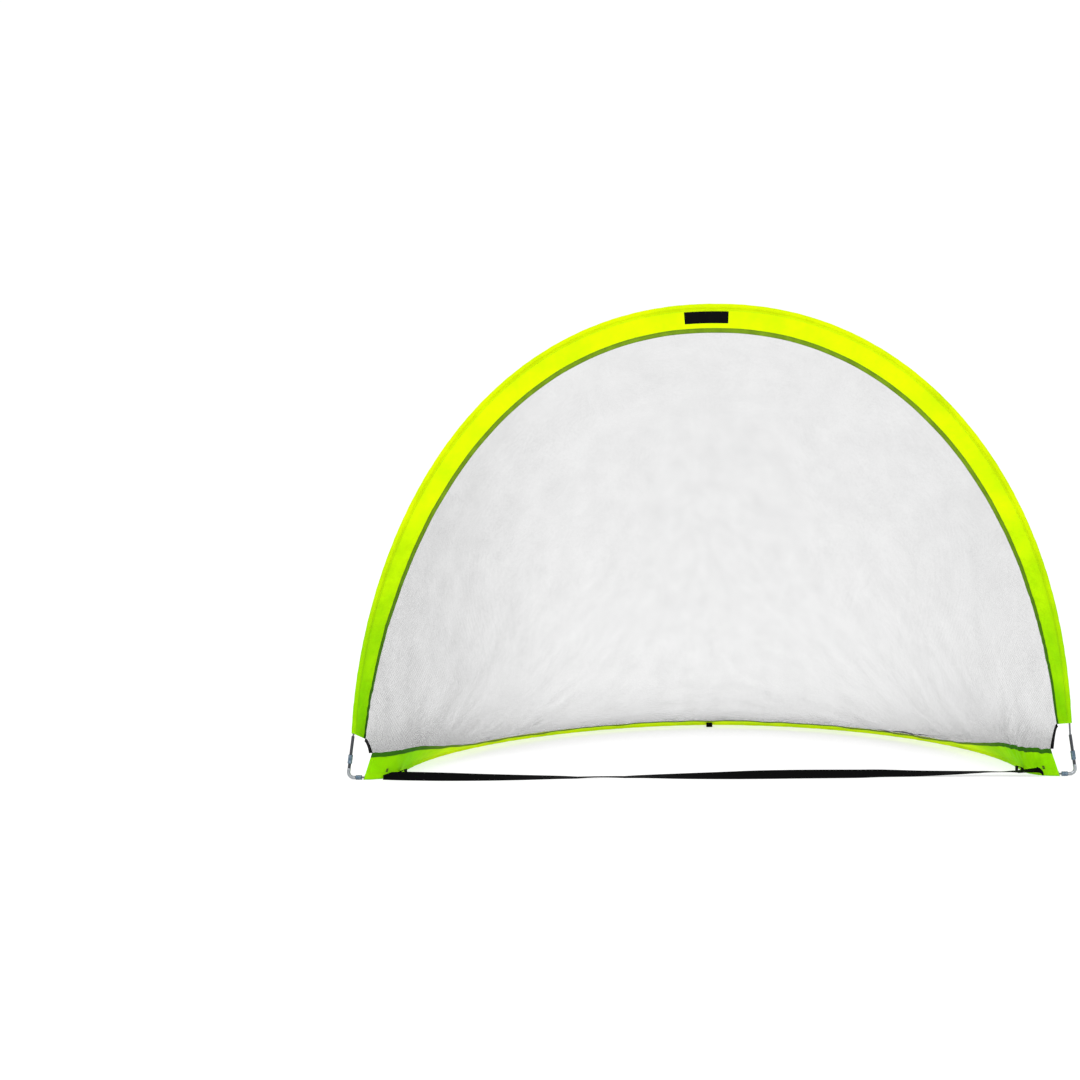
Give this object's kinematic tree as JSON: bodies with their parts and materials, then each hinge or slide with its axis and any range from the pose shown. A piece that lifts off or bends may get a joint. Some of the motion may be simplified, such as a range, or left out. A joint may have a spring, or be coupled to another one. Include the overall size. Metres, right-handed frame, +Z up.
{
  "type": "pop up goal",
  "caption": "Pop up lawn goal: sprung arch and ground loop in fabric sleeves, joined by steel elbows, with a mesh net between and a webbing strap across the mouth.",
  "frame": {"origin": "middle of the footprint, on the ground", "axes": "+X to the right across the goal mouth, +Y from the mouth towards the back of the net, +Z up; the goal line is at y = -0.4238 m"},
  "size_m": [1.8406, 0.9042, 1.1948],
  "materials": {
    "lime_fabric": "satin",
    "net_hem": "matte",
    "net_mesh": "matte",
    "black_webbing": "satin",
    "fibreglass": "satin",
    "black_vinyl": "satin",
    "zinc_ferrule": "satin",
    "bright_steel": "satin",
    "patch_print": "matte"
  },
  "bodies": {
    "base": {"base_rod": "fibreglass", "base_sleeve": "lime_fabric", "base_net_hem": "net_hem", "net_panel": "net_mesh", "front_strap": "black_webbing", "peg_loop_left": "black_webbing", "peg_loop_right": "black_webbing", "peg_loop_rear": "black_webbing", "corner_binding_left": "black_webbing", "corner_binding_right": "black_webbing", "lower_ferrule_left": "zinc_ferrule", "lower_ferrule_right": "zinc_ferrule"},
    "arch": {"arch_rod": "fibreglass", "arch_sleeve": "lime_fabric", "arch_net_hem": "net_hem", "crown_patch": "patch_print", "elbow_left": "bright_steel", "neck_collar_left": "black_vinyl", "upper_ferrule_left": "zinc_ferrule", "rod_tube_left": "black_vinyl", "elbow_right": "bright_steel", "neck_collar_right": "black_vinyl", "upper_ferrule_right": "zinc_ferrule", "rod_tube_right": "black_vinyl"}
  },
  "joints": [
    {"name": "arch_fold", "type": "hinge", "parent": "base", "child": "arch", "pos_m": [0, -0.42377, 0.006], "axis": [-1, 0, 0], "range_deg": [0, 90], "stiffness_Nm_per_rad": 2.5, "springref_deg": -20.05, "deforming": ["net_panel", "corner_binding_left", "corner_binding_right", "arch_sleeve", "arch_net_hem"]}
  ]
}
